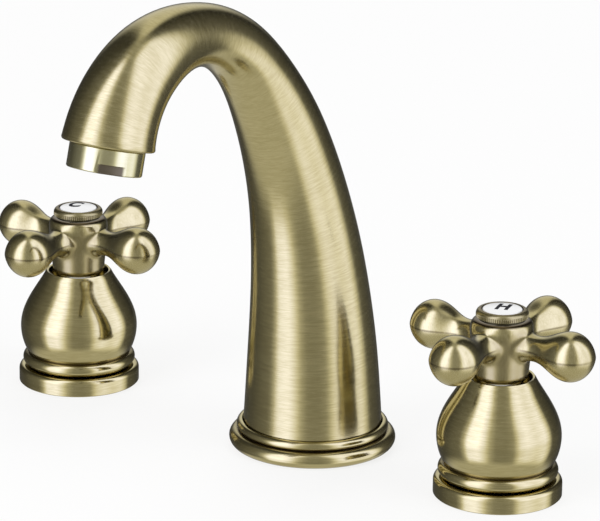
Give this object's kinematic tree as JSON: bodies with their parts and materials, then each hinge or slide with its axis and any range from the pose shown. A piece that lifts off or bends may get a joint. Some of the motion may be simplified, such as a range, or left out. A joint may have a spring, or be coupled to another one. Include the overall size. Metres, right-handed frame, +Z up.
{
  "type": "basin mixer tap",
  "caption": "Deck-mounted basin mixer tap with a gooseneck spout, side valves turned by cross handles, and the pipes, tee and fixings that sit below the deck.",
  "frame": {"origin": "on the spout's vertical axis, in the deck's top face", "axes": "+Z up, -Y the way the spout points, +X towards the hot valve"},
  "size_m": [0.2818, 0.1751, 0.2639],
  "materials": {
    "antique_brass": "brushed, aged to an olive brown, darker in the grooves",
    "polished_brass": "polished, lightly aged",
    "raw_brass": "plain machined",
    "copper": "drawn copper tube",
    "steel": "plain stainless",
    "rubber": "matt",
    "fibre": "pressed fibre",
    "ceramic": "lapped alumina",
    "porcelain": "glossy white glaze",
    "plastic": "moulded"
  },
  "bodies": {
    "fixed_assembly": {"aerator_housing": "polished_brass", "aerator_insert": "plastic", "aerator_screen": "steel", "aerator_washer": "rubber", "left_base_flange": "antique_brass", "left_bell_cover": "antique_brass", "left_connecting_pipe": "copper", "left_fixed_disc": "ceramic", "left_flange_gasket": "rubber", "left_headwork": "raw_brass", "left_headwork_washer": "fibre", "left_lock_nut": "raw_brass", "left_outlet_nut": "raw_brass", "left_rubber_washer": "rubber", "left_seat_seal": "rubber", "left_steel_washer": "steel", "left_tee_nut": "raw_brass", "left_valve_body": "raw_brass", "right_base_flange": "antique_brass", "right_bell_cover": "antique_brass", "right_connecting_pipe": "copper", "right_fixed_disc": "ceramic", "right_flange_gasket": "rubber", "right_headwork": "raw_brass", "right_headwork_washer": "fibre", "right_lock_nut": "raw_brass", "right_outlet_nut": "raw_brass", "right_rubber_washer": "rubber", "right_seat_seal": "rubber", "right_steel_washer": "steel", "right_tee_nut": "raw_brass", "right_valve_body": "raw_brass", "spout_base_ring": "antique_brass", "spout_body": "antique_brass", "spout_gasket": "rubber", "spout_lock_nut": "raw_brass", "spout_rubber_washer": "rubber", "spout_shank": "raw_brass", "spout_steel_washer": "steel", "tee_connector": "raw_brass"},
    "left_handle": {"left_cross_handle": "antique_brass", "left_handle_screw": "steel", "left_index_button": "porcelain", "left_index_ring": "polished_brass", "left_moving_disc": "ceramic", "left_spindle": "raw_brass", "left_spindle_clip": "steel", "left_spindle_seal_ring": "rubber"},
    "right_handle": {"right_cross_handle": "antique_brass", "right_handle_screw": "steel", "right_index_button": "porcelain", "right_index_ring": "polished_brass", "right_moving_disc": "ceramic", "right_spindle": "raw_brass", "right_spindle_clip": "steel", "right_spindle_seal_ring": "rubber"}
  },
  "joints": [
    {"name": "left_handle_turn", "type": "hinge", "parent": "fixed_assembly", "child": "left_handle", "pos_m": [-0.1173, 0, 0.0592], "axis": [0, 0, 1], "range_deg": [0, 90]},
    {"name": "right_handle_turn", "type": "hinge", "parent": "fixed_assembly", "child": "right_handle", "pos_m": [0.0859, 0, 0.0592], "axis": [0, 0, 1], "range_deg": [-90, 0]}
  ]
}
